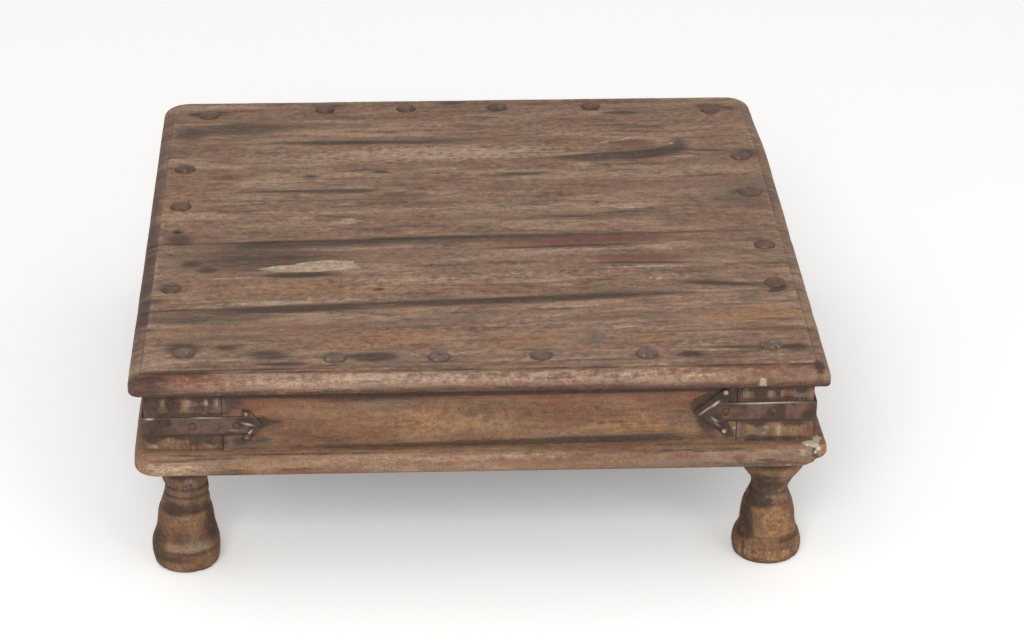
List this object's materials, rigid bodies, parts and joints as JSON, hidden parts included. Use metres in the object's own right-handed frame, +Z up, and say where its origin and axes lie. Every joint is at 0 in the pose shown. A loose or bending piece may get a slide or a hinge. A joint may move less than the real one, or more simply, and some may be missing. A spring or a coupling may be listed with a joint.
{
  "type": "bajot low table",
  "caption": "Low table of old wood: boarded top with a rounded border, held by domed iron studs, on a framed box with a foot moulding, iron corner straps and short turned legs.",
  "frame": {"origin": "on the floor under the middle of the table", "axes": "+Z up, +X to the right, the front with the pictured side faces -Y"},
  "size_m": [0.5, 0.54, 0.1704],
  "materials": {
    "top_wood": "old oiled teak boards, worn and stained, satin to matte",
    "frame_wood": "old oiled teak with dark remains of paint at the corners, matte",
    "leg_wood": "turned old teak, rubbed and dirty in the grooves, matte",
    "moulding_wood": "old teak, edges rubbed pale, matte",
    "strap_iron": "hand-cut wrought iron, brown rust and old wax",
    "stud_iron": "forged iron, dark brown patina, polished by use on the crowns"
  },
  "bodies": {
    "root": {"top_board_front": "top_wood", "top_board_middle": "top_wood", "top_board_back": "top_wood", "rail_front": "frame_wood", "rail_back": "frame_wood", "rail_left": "frame_wood", "rail_right": "frame_wood", "leg_front_left": "leg_wood", "leg_front_right": "leg_wood", "leg_back_right": "leg_wood", "leg_back_left": "leg_wood", "moulding_front": "moulding_wood", "moulding_back": "moulding_wood", "moulding_left": "moulding_wood", "moulding_right": "moulding_wood", "corner_strap_front_left": "strap_iron", "corner_strap_front_right": "strap_iron", "corner_strap_back_right": "strap_iron", "corner_strap_back_left": "strap_iron", "strap_nails_front_left": "strap_iron", "strap_nails_front_right": "strap_iron", "strap_nails_back_right": "strap_iron", "strap_nails_back_left": "strap_iron", "top_studs_front": "stud_iron", "top_studs_back": "stud_iron", "top_studs_left": "stud_iron", "top_studs_right": "stud_iron", "moulding_brads": "stud_iron"}
  },
  "joints": []
}
